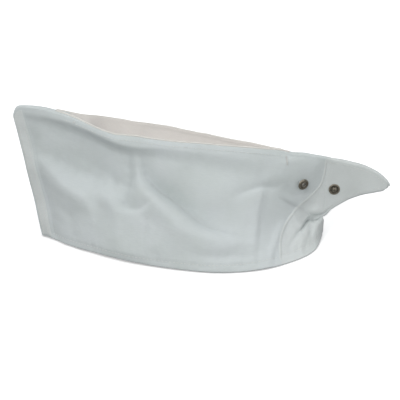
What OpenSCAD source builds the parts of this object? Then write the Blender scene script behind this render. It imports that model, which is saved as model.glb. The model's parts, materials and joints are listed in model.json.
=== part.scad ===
// Boat-shaped cook's cap in white cotton, with a sunken crown and a tail that folds
// forward on to the left side, where a press stud holds it.
// Origin: middle of the overall length and width, on the plane of the bottom edge.
// -X is the front peak, +X the tail, -Y the wearer's left, +Z up.  Millimetres.

/* [Head opening] */
// Length of the head opening, front to back
opening_l = 227; // [215:1:240]
// Width of the head opening at its widest
opening_w = 138; // [130:1:146]

/* [Crown] */
// Height of the front peak above the bottom edge
peak_h = 111; // [104:1:118]
// Width of the crown gusset at its widest
gusset_w = 39; // [34:1:44]
// How far the gusset sinks between the two rims
gusset_drop = 15; // [8:1:18]

/* [Cloth] */
// Thickness of one panel
cloth_t = 1; // [0.8:0.1:1]
// Air left between neighbouring pieces
gap = 0.15; // [0.1:0.05:0.2]
// Radius of the rolled seam allowance inside an edge
roll_r = 0.8; // [0.6:0.1:0.8]
// Height of the turned-under bottom edge
hem_h = 2; // [1.5:0.5:3]
// Height of the inner facing
facing_h = 28; // [15:1:32]
// Thickness of the inner facing
facing_t = 0.8; // [0.6:0.1:1]
// Width of the felled strip down the front seam
strip_w = 9; // [6:0.5:10]

/* [Tail fold] */
// Angle the tail turns through before its stud is home
fold_angle = 152; // [150:1:154]
// Lean of the fold line from upright, towards the rear
fold_lean = 14.7; // [13:0.1:16]
// Distance between the two cloth faces when the stud is home
closed_gap = 2.6; // [2.6:0.1:3]

/* [Press stud] */
// Distance of each half from the fold line
snap_reach = 13.8; // [13:0.1:14.5]
// Radius of both halves
snap_r = 4.5; // [4:0.1:4.8]
// Radius of the socket's mouth
socket_r = 1.85; // [1.8:0.01:1.9]
// Radius of the stud's head
stud_r = 1.5; // [1.4:0.01:1.55]

/* [Stitching] */
// Length of one visible stitch
stitch_l = 3.6; // [2.5:0.1:4]
// Distance from one stitch to the next
stitch_pitch = 6; // [5:0.5:8]
// Thickness of the thread
thread_d = 0.5; // [0.4:0.05:0.6]

/* [Hidden] */

COTTON = [0.86, 0.88, 0.88];
RIM = [0.92, 0.93, 0.92];
CROWN = [0.85, 0.82, 0.79];
TAPE = [0.80, 0.81, 0.80];
THREAD = [0.95, 0.94, 0.90];
GUNMETAL = [0.26, 0.25, 0.20];
STEEL = [0.55, 0.55, 0.50];

// The sections and the tail are drawn for a 227 x 138 mm opening and a 111 mm peak,
// and these stretch them to the sizes above.
kx = opening_l / 227;
ky = opening_w / 138;
kz = peak_h / 111;
kg = gusset_w / 39;

// Sections down one side, front seam first.  Each row is
// [foot x, foot y, crest x, crest y, crest z, belly], with y as a half width.
SECTIONS = [
    [-131.2,  2.2, -148.7,  2.0, 103.0,   0],
    [-126.7,  4.8, -145.5,  2.0, 109.4,   0],
    [-120.7,  9.4, -138.7,  2.0, 111.0,   0],
    [-105.7, 20.5, -121.7,  2.6, 109.0,   1],
    [ -83.7, 33.0,  -97.7,  6.0, 102.0,   1],
    [ -57.7, 46.0,  -71.7, 16.0,  94.6,   2],
    [ -25.7, 60.5,  -39.7, 19.5,  88.4,   3],
    [  10.3, 69.0,   -3.7, 15.5,  83.0,   2],
    [  44.3, 63.3,   30.3,  9.0,  77.8,  -3],
    [  72.3, 47.5,   64.3,  3.4,  73.4, -16],
    [  88.3, 28.5,   85.3,  2.6,  69.6, -14],
    [  95.8,  2.2,   96.9,  2.4,  67.4,   0]
];
LAST = len(SECTIONS) - 1;
// Outer face of a tail layer, measured from the middle plane
TAIL_Y = 2;
// The point where the fold line passes between the two halves of the press stud
FOLD_AT = [90.2 * kx, -TAIL_Y - closed_gap / 2, 44.6 * kz];
FOLD_DIR = [sin(fold_lean), 0, cos(fold_lean)];
// Across the fold line, pointing to the tail
FOLD_OUT = [cos(fold_lean), 0, -sin(fold_lean)];
// The wall ahead of the fold is pressed to a plane that faces the folded tail: its half
// width at the fold line, and its slope
PRESS_Y = -FOLD_AT.y - closed_gap / 2 / cos(180 - fold_angle);
PRESS_SLOPE = tan(180 - fold_angle);
// The shoulder below the pressed area: where it starts, and how it falls away
SHOULDER_Z = 17;
SHOULDER_X = 85.3;
SHOULDER_RISE = 0.8;
SHOULDER_FALL = 2.2;
// Air under the strips and threads that lie on the wall, whose facets stand a little proud
LAY = 0.45;
// Distance from a closed edge to the middle of the seam rolled inside it
EDGE_INSET = 1.2;

// Lap seam, as [v, u] on the wall, from the bottom edge to the fold line
LAP = [[0, 8.5], [0.26, 8.6], [0.31, 8.75], [0.38, 9.03], [0.48, 9.6], [0.6, 10.25], [0.66, 10.5]];
// Rear limit of the cloth below the tail, as [v, u]
ROOT = [[0, 11], [0.25, 11], [0.3, 10.85], [0.5, 10.12], [0.6, 10.2]];
// Rows of the side and rear panels above their foot, as v.  The lap seam lies on the same
// rows and columns, so that its facets stay parallel to theirs.
LOWER_ROWS = [0.08, 0.16, 0.24, 0.28, 0.32, 0.36, 0.4, 0.44, 0.48, 0.54];
UPPER_ROWS = [0.6, 0.66, 0.74, 0.82, 0.91, 1];
SIDE_COLS = 56;
REAR_COLS = 24;

// Outline of the tail behind the fold line, as [x, z]
TAIL_TOP = [[97.3, 67.3], [110.3, 65.3], [124.3, 61.6], [137.3, 55.3], [146.3, 48.2], [148.7, 45.2]];
TAIL_LOW = [[148.7, 45.2], [146.3, 41.2], [137.3, 38.3], [125.3, 35.2], [110.3, 26.4], [96.8, 20.6]];
// Height at which the tail's front edge leaves the fold line for the tail's root
TAIL_CUT_Z = 38;

// ---- curves -------------------------------------------------------------------

function mix(a, b, t) = a + (b - a) * t;

// Smooth curve through rows of numbers; t counts rows
function spline(rows, t) = let (
    n = len(rows) - 1,
    i = min(floor(t), n - 1),
    f = t - i,
    a = rows[max(i - 1, 0)],
    b = rows[i],
    c = rows[i + 1],
    d = rows[min(i + 2, n)]
) 0.5 * (2 * b + (c - a) * f + (2 * a - 5 * b + 4 * c - d) * f * f
    + (3 * b - a - 3 * c + d) * f * f * f);

function smooth_path(rows, steps) = [for (i = [0 : steps]) spline(rows, i * (len(rows) - 1) / steps)];

// The smaller of two numbers, rounded over a width k where they cross
function smooth_min(a, b, k) = let (h = max(k - abs(a - b), 0) / k) min(a, b) - h * h * k / 4;

function unit(a) = a / norm(a);

// ---- the wall of the cap ------------------------------------------------------

function section(u) = let (s = spline(SECTIONS, u))
    [s[0] * kx, s[1] * ky, s[2] * kx, s[3] * kg, s[4] * kz, s[5] * ky];

// Distance in front of the fold line, seen from the side
function ahead(x, z) = -([x, FOLD_AT.y, z] - FOLD_AT) * FOLD_OUT;

// Half width at which the wall would touch the folded tail
function pressed(x, z) = PRESS_Y + PRESS_SLOPE * max(ahead(x, z), 0)
    + SHOULDER_FALL * max(SHOULDER_Z + SHOULDER_RISE * max(SHOULDER_X * kx - x, 0) - z, 0);

// Outer face of the left wall: u runs from the front seam to the rear, v from foot to crest
function wall(u, v) = let (
    s = section(u),
    x = mix(s[0], s[2], v),
    z = s[4] * v,
    free = mix(s[1], s[3], v) + s[5] * 6.75 * v * (1 - v) * (1 - v)
) [x, -smooth_min(free, pressed(x, z), 0.8), z];

function wall_normal(u, v) = let (
    e = 0.02,
    du = wall(min(u + e, LAST), v) - wall(max(u - e, 0), v),
    dv = wall(u, min(v + e, 1)) - wall(u, max(v - e, 0))
) unit(cross(du, dv));

// A point at a distance outside the wall
function off_wall(u, v, out) = wall(u, v) + out * wall_normal(u, v);

// The same, kept above the turned-under bottom edge
function above_hem(u, v, out) = let (p = off_wall(u, v, out)) [p.x, p.y, max(p.z, hem_h + gap)];

// v at a height above the bottom edge
function v_at(u, z) = z / section(u)[4];

// u at which the wall meets the fold line, less half the slit left for the fold
function fold_u(v, lo = 9, hi = 11, steps = 18) = let (
    m = (lo + hi) / 2,
    p = wall(m, v)
) steps == 0 ? m
    : ahead(p.x, p.z) > 0.6 ? fold_u(v, m, hi, steps - 1) : fold_u(v, lo, m, steps - 1);

// ---- solids -------------------------------------------------------------------

// Closed solid between two grids of points
module skin(outer, inner) {
    rows = len(outer);
    cols = len(outer[0]);
    n = rows * cols;
    faces = concat(
        [for (i = [0 : rows - 2], j = [0 : cols - 2]) let (a = i * cols + j) each
            [[a, a + cols, a + cols + 1], [a, a + cols + 1, a + 1]]],
        [for (i = [0 : rows - 2], j = [0 : cols - 2]) let (a = n + i * cols + j) each
            [[a, a + cols + 1, a + cols], [a, a + 1, a + cols + 1]]],
        [for (j = [0 : cols - 2]) let (b = (rows - 1) * cols + j) each
            [[j, j + 1, n + j + 1], [j, n + j + 1, n + j],
             [b, n + b + 1, b + 1], [b, n + b, n + b + 1]]],
        [for (i = [0 : rows - 2]) let (a = i * cols, b = a + cols - 1) each
            [[a, n + a + cols, a + cols], [a, n + a, n + a + cols],
             [b, b + cols, n + b + cols], [b, n + b + cols, n + b]]]
    );
    polyhedron(concat([for (r = outer) each r], [for (r = inner) each r]), faces, convexity = 6);
}

// Cloth over a stretch of wall: each row is [v, list of u]
module wall_cloth(rows, inner, outer) {
    skin(
        [for (r = rows) [for (u = r[1]) above_hem(u, r[0], outer)]],
        [for (r = rows) [for (u = r[1]) above_hem(u, r[0], inner)]]
    );
}

function spread(first, last, cols) = [for (j = [0 : cols]) mix(first, last, j / cols)];

// Round cord along a path that stays off the Y direction
module cord(path, r, sides = 8) {
    n = len(path);
    rings = [for (i = [0 : n - 1]) let (
        t = unit(path[min(i + 1, n - 1)] - path[max(i - 1, 0)]),
        a = unit(cross(t, [0, 1, 0])),
        b = cross(t, a)
    ) [for (k = [0 : sides - 1]) path[i] + r * (a * cos(360 * k / sides) + b * sin(360 * k / sides))]];
    faces = concat(
        [for (i = [0 : n - 2], k = [0 : sides - 1]) let (
            p = i * sides + k,
            q = i * sides + (k + 1) % sides
        ) each [[p, q, q + sides], [p, q + sides, p + sides]]],
        [[for (k = [sides - 1 : -1 : 0]) k]],
        [[for (k = [0 : sides - 1]) (n - 1) * sides + k]]
    );
    polyhedron([for (r = rings) each r], faces, convexity = 6);
}

// Round bar between two points
module bar(a, b, d) {
    v = b - a;
    translate(a) rotate([0, acos(v.z / norm(v)), atan2(v.y, v.x)]) cylinder(d = d, h = norm(v), $fn = 16);
}

function runs(path) = [for (
    i = 0, s = 0;
    i < len(path);
    s = s + (i + 1 < len(path) ? norm(path[i + 1] - path[i]) : 0), i = i + 1
) s];

function along(path, marks, s) = [for (k = [0 : 2])
    lookup(s, [for (i = [0 : len(path) - 1]) [marks[i], path[i][k]]])];

// A row of stitches lying along a path
module stitches(path) {
    marks = runs(path);
    count = floor(marks[len(marks) - 1] / stitch_pitch);
    for (i = [0 : count - 1]) {
        middle = (i + 0.5) * stitch_pitch;
        bar(along(path, marks, middle - stitch_l / 2), along(path, marks, middle + stitch_l / 2), thread_d);
    }
}

module on_right() {
    mirror([0, 1, 0]) children();
}

// Turns the tail about the fold line
module folded(angle) {
    translate(FOLD_AT) rotate(a = -angle, v = FOLD_DIR) translate(-FOLD_AT) children();
}

// Stands a shape on the left face of the tail, on the stud's axis, pointing out
module on_tail_face(lift = 0) {
    place = FOLD_AT + snap_reach * FOLD_OUT;
    translate([place.x, -TAIL_Y - lift, place.z]) rotate([90, 0, 0]) children();
}

// ---- panels -------------------------------------------------------------------

LAP_CURVE = smooth_path(LAP, 24);
function lap_u(v) = lookup(v, LAP_CURVE);
// Half of the slit between a side panel and a rear panel, as u
LAP_SLIT = 0.01;

LOWER_V = concat([v_at(9, hem_h + gap)], LOWER_ROWS);

function side_us(v) = spread(0, v < 0.6 ? min(lap_u(v), fold_u(v)) - LAP_SLIT : fold_u(v), SIDE_COLS);
function rear_us(v) = spread(lap_u(v) + LAP_SLIT, v > 0.5 ? fold_u(v) : lookup(v, ROOT), REAR_COLS);

module side_panel() {
    wall_cloth([for (v = concat(LOWER_V, UPPER_ROWS)) [v, side_us(v)]], -cloth_t, 0);
}

module rear_panel() {
    wall_cloth([for (v = LOWER_V) [v, rear_us(v)]], -cloth_t, 0);
}

module left_side_panel() {
    color(COTTON) side_panel();
}

module right_side_panel() {
    color(COTTON) on_right() side_panel();
}

module left_rear_panel() {
    color(COTTON) rear_panel();
}

module right_rear_panel() {
    color(COTTON) on_right() rear_panel();
}

// First and last section of the open crown, and the steps between them
GUSSET_U = [3.6, 8.9];
GUSSET_STEPS = 36;

function gusset_section(i) = section(mix(GUSSET_U[0], GUSSET_U[1], i / GUSSET_STEPS));

module crown_gusset() {
    across = 8;
    edge = cloth_t + 2 * roll_r + 3 * gap;
    top = [for (i = [0 : GUSSET_STEPS]) let (s = gusset_section(i), w = s[3] - edge)
        [for (j = [0 : across]) let (t = 2 * j / across - 1)
            [s[2], t * w, s[4] - roll_r - gusset_drop * 2 * w / gusset_w * (1 - t * t)]]];
    below = [for (r = top) [for (p = r) p - [0, 0, cloth_t]]];
    color(CROWN) skin(below, top);
}

// ---- seams --------------------------------------------------------------------

// Thickness of a strip laid over a seam
STRIP_T = 0.6;
// u across one millimetre at the front seam, and how far the strip narrows to its top
STRIP_U = 0.21;
STRIP_TAPER = 0.1;

module front_felled_strip() {
    foot = v_at(0, hem_h + gap);
    color(RIM) wall_cloth([for (i = [0 : 12]) let (v = mix(foot, 0.93, i / 12))
        [v, spread(0.06, strip_w * STRIP_U * (1 - STRIP_TAPER * v), 3)]], LAY, LAY + STRIP_T);
}

// Path inside the front edge and over the peak as far as the gusset
function front_path() = concat(
    [for (i = [0 : 20]) let (p = wall(0, mix(v_at(0, hem_h + roll_r + gap), 0.99, i / 20)))
        [p.x + EDGE_INSET, 0, p.z]],
    [for (i = [1 : 18]) let (s = section(mix(0, 3.5, i / 18)))
        [s[2] + EDGE_INSET * (1 - i / 18), 0, s[4] - EDGE_INSET]]
);

module front_seam_roll() {
    color(COTTON) cord(front_path(), roll_r);
}

module rim_roll() {
    cord([for (i = [0 : GUSSET_STEPS]) let (s = gusset_section(i))
        [s[2], -(s[3] - cloth_t - 2 * gap - roll_r), s[4] - roll_r]], roll_r);
}

module left_rim_roll() {
    color(RIM) rim_roll();
}

module right_rim_roll() {
    color(RIM) on_right() rim_roll();
}

module rear_top_roll() {
    color(COTTON) cord([for (i = [0 : 8]) let (s = section(mix(9, fold_u(1), i / 8)))
        [s[2], 0, s[4] - EDGE_INSET]], roll_r);
}

module rear_seam_roll() {
    foot = v_at(LAST, hem_h + roll_r + gap);
    color(COTTON) cord([for (i = [0 : 6]) let (p = wall(LAST, mix(foot, 0.24, i / 6)))
        [p.x - EDGE_INSET, 0, p.z]], roll_r);
}

// One column of each panel wide
module lap_seam() {
    wall_cloth([for (v = LOWER_V) let (a = side_us(v), b = rear_us(v))
        [v, [a[SIDE_COLS - 1], a[SIDE_COLS], b[0], b[1]]]], LAY, LAY + STRIP_T);
}

module left_lap_seam() {
    color(RIM) lap_seam();
}

module right_lap_seam() {
    color(RIM) on_right() lap_seam();
}

// ---- bottom edge --------------------------------------------------------------

// Air between the wall and the facing
FACING_AIR = 0.7;
// The facing's top edge drops at the rear, as [u, height]
FACING_TOP = [[8.2, facing_h], [9.5, min(facing_h, 13)]];

// Points of the bottom edge, moved in by a distance, once round
function foot_ring(inset, steps = 90) = let (
    left = [for (i = [0 : steps]) let (p = off_wall(LAST * i / steps, 0, -inset)) [p.x, min(p.y, -0.6)]]
) concat(left, [for (i = [steps : -1 : 0]) [left[i].x, -left[i].y]]);

module bottom_hem() {
    color(COTTON) linear_extrude(height = hem_h) difference() {
        polygon(foot_ring(0));
        polygon(foot_ring(cloth_t + FACING_AIR + facing_t));
    }
}

module facing_half() {
    rows = [for (i = [0 : 4]) [for (j = [0 : 44]) let (u = mix(0.5, 10.85, j / 44))
        [u, v_at(u, mix(hem_h + gap, lookup(u, FACING_TOP), i / 4))]]];
    face = -cloth_t - FACING_AIR;
    skin(
        [for (r = rows) [for (q = r) above_hem(q[0], q[1], face)]],
        [for (r = rows) [for (q = r) above_hem(q[0], q[1], face - facing_t)]]
    );
}

module inner_facing() {
    color(TAPE) {
        facing_half();
        on_right() facing_half();
    }
}

// ---- thread -------------------------------------------------------------------

// Distance of a thread's middle from the cloth that it lies on
THREAD_LIFT = thread_d / 2 + LAY;
// Height of the hem's row of stitches
HEM_ROW_Z = 4.8;

function hem_row(u0, u1, steps) = [for (i = [0 : steps]) let (u = mix(u0, u1, i / steps))
    off_wall(u, v_at(u, HEM_ROW_Z), THREAD_LIFT)];

// The row starts beside the front strip and breaks where the lap seam crosses it
module hem_stitching() {
    color(THREAD) for (side = [0, 1]) mirror([0, side, 0]) {
        stitches(hem_row(strip_w * STRIP_U + 0.2, lap_u(0) - 0.2, 90));
        stitches(hem_row(lap_u(0) + 0.2, 10.9, 30));
    }
}

module rim_stitching() {
    stitches([for (i = [0 : 60]) let (u = mix(GUSSET_U[0], GUSSET_U[1], i / 60))
        off_wall(u, 1 - 3 / section(u)[4], THREAD_LIFT)]);
}

module left_rim_stitching() {
    color(THREAD) rim_stitching();
}

module right_rim_stitching() {
    color(THREAD) on_right() rim_stitching();
}

module front_stitching() {
    lift = LAY + STRIP_T + THREAD_LIFT;
    color(THREAD) for (u = [0.4, 1.4])
        stitches([for (i = [0 : 30]) off_wall(u, mix(0.05, 0.9, i / 30), lift)]);
}

module lap_stitching() {
    color(THREAD) for (side = [0, 1]) mirror([0, side, 0])
        stitches([for (v = LOWER_ROWS) off_wall(lap_u(v), v, LAY + STRIP_T + THREAD_LIFT)]);
}

// Close-set bars of thread at the two ends of the gusset
module gusset_bar_tacks() {
    color(THREAD) for (side = [0, 1]) mirror([0, side, 0]) for (u = [3.3, 9.15]) for (k = [0 : 1])
        bar(off_wall(u + k * 0.05, 0.985, THREAD_LIFT), off_wall(u + k * 0.05, 0.9, THREAD_LIFT), thread_d);
}

// ---- press stud ---------------------------------------------------------------

// Half profiles as [radius, height above the cloth]
function stud_profile() = [
    [0, 0], [snap_r - 0.2, 0], [snap_r, 0.15], [snap_r, 0.35], [snap_r - 0.3, 0.65],
    [snap_r - 0.8, 0.8], [snap_r - 1.3, 0.7], [snap_r - 1.6, 0.45], [2.3, 0.4],
    [stud_r + 0.35, 0.55], [stud_r - 0.1, 0.9], [stud_r - 0.25, 1.3], [stud_r, 1.7],
    [stud_r, 1.95], [stud_r - 0.3, 2.2], [stud_r - 0.8, 2.3], [0, 2.3]
];

function socket_profile() = [
    [socket_r + 0.4, 0], [snap_r - 0.2, 0], [snap_r, 0.15], [snap_r, 0.6], [snap_r - 0.3, 1.15],
    [snap_r - 0.8, 1.45], [snap_r - 1.4, 1.5], [snap_r - 1.8, 1.25], [socket_r + 0.35, 1.3],
    [socket_r, 1.45], [socket_r, 1], [socket_r + 0.6, 1], [socket_r + 0.6, 0.45],
    [socket_r + 0.4, 0.45]
];

module snap_stud() {
    color(GUNMETAL) on_tail_face() rotate_extrude($fn = 64) polygon(stud_profile());
}

// The barrel passes through the cloth and is flared on its inner face
module rivet() {
    difference() {
        union() {
            translate([0, 0, -cloth_t - 0.5]) cylinder(r = 3.4, h = 0.5, $fn = 48);
            translate([0, 0, -cloth_t - 0.5]) cylinder(r = 1, h = cloth_t + 0.45, $fn = 48);
        }
        translate([0, 0, -cloth_t - 1]) cylinder(r = 0.6, h = cloth_t + 0.7, $fn = 48);
    }
}

module snap_stud_rivet() {
    color(STEEL) on_tail_face() rivet();
}

// The socket's place is the stud's place with the tail folded home
module on_pressed_wall() {
    folded(fold_angle) on_tail_face(closed_gap) rotate([180, 0, 0]) children();
}

module snap_socket() {
    color(GUNMETAL) on_pressed_wall() rotate_extrude($fn = 64) polygon(socket_profile());
}

// Open ring of wire that grips the stud behind its head
module snap_socket_spring() {
    color(STEEL) on_pressed_wall() translate([0, 0, 0.72])
        rotate_extrude(angle = 320, $fn = 64) translate([socket_r + 0.3, 0]) circle(r = 0.2, $fn = 24);
}

module snap_socket_rivet() {
    color(STEEL) on_pressed_wall() rivet();
}

// ---- tail ---------------------------------------------------------------------

// Slit between the fold line and the tail panels
TAIL_SLIT = 0.6;

// x on the fold line at a height, a distance towards the tail
function fold_x(z, out) = FOLD_AT.x + (z - FOLD_AT.z) * tan(fold_lean) + out / cos(fold_lean);

// Points along each edge of the tail
EDGE_STEPS = 24;

function tail_edge(rows) = [for (p = smooth_path(rows, EDGE_STEPS)) [p.x * kx, p.y * kz]];

// Once round the free edge, from the fold line's top by the tip to the tail's root
function free_edge() = concat(tail_edge(TAIL_TOP), [for (i = [1 : EDGE_STEPS]) tail_edge(TAIL_LOW)[i]]);

function tail_outline() = let (
    edge = free_edge(),
    cut_z = TAIL_CUT_Z * kz
) concat([[fold_x(cut_z, TAIL_SLIT), cut_z], [fold_x(edge[0].y, TAIL_SLIT), edge[0].y]], edge);

module tail_plate() {
    difference() {
        translate([0, -TAIL_Y + cloth_t, 0]) rotate([90, 0, 0])
            linear_extrude(height = cloth_t) polygon(tail_outline());
        children();
    }
}

module left_tail_panel() {
    color(COTTON) tail_plate()
        on_tail_face() translate([0, 0, -2 * cloth_t]) cylinder(r = 1.1, h = 3 * cloth_t, $fn = 48);
}

module right_tail_panel() {
    color(COTTON) on_right() tail_plate();
}

function inset_path(path, d) = let (n = len(path)) [for (i = [0 : n - 1]) let (
    t = unit(path[min(i + 1, n - 1)] - path[max(i - 1, 0)])
) path[i] + d * [t.y, -t.x]];

module tail_edge_roll() {
    color(COTTON) cord([for (p = inset_path(free_edge(), 1.4)) [p.x, 0, p.y]],
        min(roll_r, TAIL_Y - cloth_t - gap));
}

module tail_stitching() {
    color(THREAD) for (side = [-1, 1])
        stitches([for (p = inset_path(free_edge(), 3.6)) [p.x, side * (TAIL_Y + THREAD_LIFT), p.y]]);
}

left_side_panel();
right_side_panel();
left_rear_panel();
right_rear_panel();
crown_gusset();
front_felled_strip();
front_seam_roll();
left_rim_roll();
right_rim_roll();
rear_top_roll();
rear_seam_roll();
left_lap_seam();
right_lap_seam();
bottom_hem();
inner_facing();
hem_stitching();
left_rim_stitching();
right_rim_stitching();
front_stitching();
lap_stitching();
gusset_bar_tacks();
snap_socket();
snap_socket_spring();
snap_socket_rivet();
left_tail_panel();
right_tail_panel();
tail_edge_roll();
tail_stitching();
snap_stud();
snap_stud_rivet();
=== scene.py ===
import json
import math

import bpy
import numpy as np
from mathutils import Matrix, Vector


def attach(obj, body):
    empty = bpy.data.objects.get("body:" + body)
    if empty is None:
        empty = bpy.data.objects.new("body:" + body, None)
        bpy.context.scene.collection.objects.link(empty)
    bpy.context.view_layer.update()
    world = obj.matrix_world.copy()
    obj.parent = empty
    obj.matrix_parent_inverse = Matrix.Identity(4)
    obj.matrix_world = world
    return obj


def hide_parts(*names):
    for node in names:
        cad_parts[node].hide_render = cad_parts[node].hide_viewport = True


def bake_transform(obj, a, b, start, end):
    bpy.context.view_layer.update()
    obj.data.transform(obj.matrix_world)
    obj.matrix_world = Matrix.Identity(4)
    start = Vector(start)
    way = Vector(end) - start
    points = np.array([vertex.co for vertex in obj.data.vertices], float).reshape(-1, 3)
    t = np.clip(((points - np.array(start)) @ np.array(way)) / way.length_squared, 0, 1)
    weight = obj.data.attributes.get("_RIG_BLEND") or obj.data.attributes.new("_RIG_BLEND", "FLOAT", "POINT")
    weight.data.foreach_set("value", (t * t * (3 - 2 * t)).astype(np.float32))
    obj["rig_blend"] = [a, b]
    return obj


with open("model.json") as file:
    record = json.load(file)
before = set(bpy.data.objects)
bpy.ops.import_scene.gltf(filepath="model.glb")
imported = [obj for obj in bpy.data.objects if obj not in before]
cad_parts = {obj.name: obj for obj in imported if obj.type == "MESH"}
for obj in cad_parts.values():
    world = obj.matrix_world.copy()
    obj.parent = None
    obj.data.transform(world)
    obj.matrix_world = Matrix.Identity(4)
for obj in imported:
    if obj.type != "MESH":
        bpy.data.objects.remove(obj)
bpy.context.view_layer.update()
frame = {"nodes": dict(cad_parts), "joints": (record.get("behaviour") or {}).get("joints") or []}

MM = 0.001

# Lengths are millimetres in the CAD frame: -X front peak, +X tail, -Y wearer's left, +Z up.
# Every cloth is drawn for the left side, and the right side is its mirror image.

# ---- the wall, as in the CAD --------------------------------------------------

# Sections down one side, front seam first: foot x, foot y, crest x, crest y, crest z, belly
SECTIONS = np.array([
    [-131.2, 2.2, -148.7, 2.0, 103.0, 0], [-126.7, 4.8, -145.5, 2.0, 109.4, 0],
    [-120.7, 9.4, -138.7, 2.0, 111.0, 0], [-105.7, 20.5, -121.7, 2.6, 109.0, 1],
    [-83.7, 33.0, -97.7, 6.0, 102.0, 1], [-57.7, 46.0, -71.7, 16.0, 94.6, 2],
    [-25.7, 60.5, -39.7, 19.5, 88.4, 3], [10.3, 69.0, -3.7, 15.5, 83.0, 2],
    [44.3, 63.3, 30.3, 9.0, 77.8, -3], [72.3, 47.5, 64.3, 3.4, 73.4, -16],
    [88.3, 28.5, 85.3, 2.6, 69.6, -14], [95.8, 2.2, 96.9, 2.4, 67.4, 0]])
LAST = len(SECTIONS) - 1
FRONT_U = 0.25
# The tail's fold line: a point on it, its direction, and the direction across it to the rear
joint = frame["joints"][0]
FOLD_AT = np.array(joint["pos_m"]) / MM
FOLD_DIR = -np.array(joint["axis"])
FOLD_OUT = np.array([FOLD_DIR[2], 0, -FOLD_DIR[0]])
# Where the side is pressed flat in front of the fold line, and the shoulder below it
PRESS_Y = 1.83
PRESS_SLOPE = math.tan(math.radians(28))
SHOULDER_Z, SHOULDER_X, SHOULDER_RISE, SHOULDER_FALL = 17, 85.3, 0.8, 2.2
# Half the tail's thickness, the thickness of the cloth, and the lowest that a wall may start
TAIL_Y = 2.0
CLOTH = 0.9
LOWEST = 0.95

# Lap seam, as [v, u]
LAP = np.array([
    [0, 8.48], [0.1, 8.5], [0.19, 8.57], [0.27, 8.73], [0.35, 9.04], [0.43, 9.44],
    [0.51, 9.86], [0.59, 10.24], [0.67, 10.53], [0.75, 10.7], [0.85, 10.8], [1, 10.88]])
# Height on the wall, as v, where the tail's lower edge starts
ROOT_V = 0.26
# Edges of the tail from its root to its tip, as [x, z]
TAIL_TOP = np.array([
    [97.1, 67.2], [110.3, 65.3], [124.3, 61.6], [137.3, 55.3], [145.0, 48.8], [147.4, 45.4]])
TAIL_LOW = np.array([
    [95.8, 18.2], [109.6, 28.0], [124.5, 35.8], [137.3, 38.5], [143.6, 39.9], [147.4, 45.4]])
TAIL_SPANS = len(TAIL_TOP) - 1
# How far the sewn crest sinks below the drawn one, as [x, drop], on the left and the right
CREST_LEFT = [
    [-148, 1.8], [-140, 2.4], [-128, 2.4], [-114, 2.6], [-104, 2.4], [-90, 2.4], [-78, 2.6],
    [-68, 2.6], [-60, 1.2], [-50, 0.2], [-25, 0], [0, -0.4], [40, -0.6], [57, -0.6],
    [70, 1.6], [80, 0.4], [97, 0.2]]
CREST_RIGHT = [
    [-148, 1.8], [-140, 2.4], [-128, 2.4], [-114, 2.6], [-104, 2.2], [-85, 1.0], [-60, 0.6],
    [-30, 0.2], [0, 0.6], [30, 0.8], [57, 1.0], [70, 1.8], [80, 0.5], [97, 0.2]]


def ease(t):
    t = np.clip(t, 0, 1)
    return t * t * (3 - 2 * t)


def mix(a, b, t):
    return a + (b - a) * t


def curve(rows, t):
    """Smooth curve through rows of numbers; t counts rows."""
    rows = np.asarray(rows, float)
    n = len(rows) - 1
    t = np.clip(np.asarray(t, float), 0, n)
    i = np.minimum(t.astype(int), n - 1)
    f = (t - i)[..., None]
    a, b, c, d = rows[np.maximum(i - 1, 0)], rows[i], rows[i + 1], rows[np.minimum(i + 2, n)]
    bow, twist = 2 * a - 5 * b + 4 * c - d, 3 * b - a - 3 * c + d
    return 0.5 * (2 * b + (c - a) * f + bow * f * f + twist * f ** 3)


def smooth_table(rows, x):
    """Value at x of a table of [x, value] with eased steps between its rows."""
    rows = np.asarray(rows, float)
    x = np.clip(x, rows[0, 0], rows[-1, 0])
    i = np.clip(np.searchsorted(rows[:, 0], x) - 1, 0, len(rows) - 2)
    t = (x - rows[i, 0]) / (rows[i + 1, 0] - rows[i, 0])
    return mix(rows[i, 1], rows[i + 1, 1], mix(t, ease(t), 0.6))


LAP_CURVE = curve(LAP, np.linspace(0, len(LAP) - 1, 120))


def lap_u(v):
    """Where the lap seam crosses the wall at height v."""
    return np.interp(v, LAP_CURVE[:, 0], LAP_CURVE[:, 1])


def ahead(x, z):
    """How far a point lies in front of the fold line."""
    return -((x - FOLD_AT[0]) * FOLD_OUT[0] + (z - FOLD_AT[2]) * FOLD_OUT[2])


def wall(u, v, side):
    """Left wall before its folds are added; side chooses whose crest it has."""
    u, v = np.broadcast_arrays(np.asarray(u, float), np.asarray(v, float))
    s = curve(SECTIONS, u)
    x, z = mix(s[..., 0], s[..., 2], v), s[..., 4] * v
    free = mix(s[..., 1], s[..., 3], v) + s[..., 5] * 6.75 * v * (1 - v) ** 2
    shoulder = SHOULDER_Z + SHOULDER_RISE * np.maximum(SHOULDER_X - x, 0) - z
    shoulder = np.logaddexp(0, shoulder / 2.4) * 2.4 - 0.9
    # rounded where the cloth bends at the fold line
    front = np.logaddexp(0, ahead(x, z) / 2.2) * 2.2 - 0.5
    pressed = PRESS_Y + PRESS_SLOPE * np.maximum(front, 0) + SHOULDER_FALL * np.maximum(shoulder, 0)
    h = np.maximum(1.6 - abs(free - pressed), 0) / 1.6
    y = np.minimum(free, pressed) - h * h * 0.4
    crest = CREST_RIGHT if side == "right" else CREST_LEFT
    z = z - smooth_table(crest, s[..., 2]) * ease((v - 0.6) / 0.4)
    return np.stack([x, -y, z], -1)


# ---- folds --------------------------------------------------------------------

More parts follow.
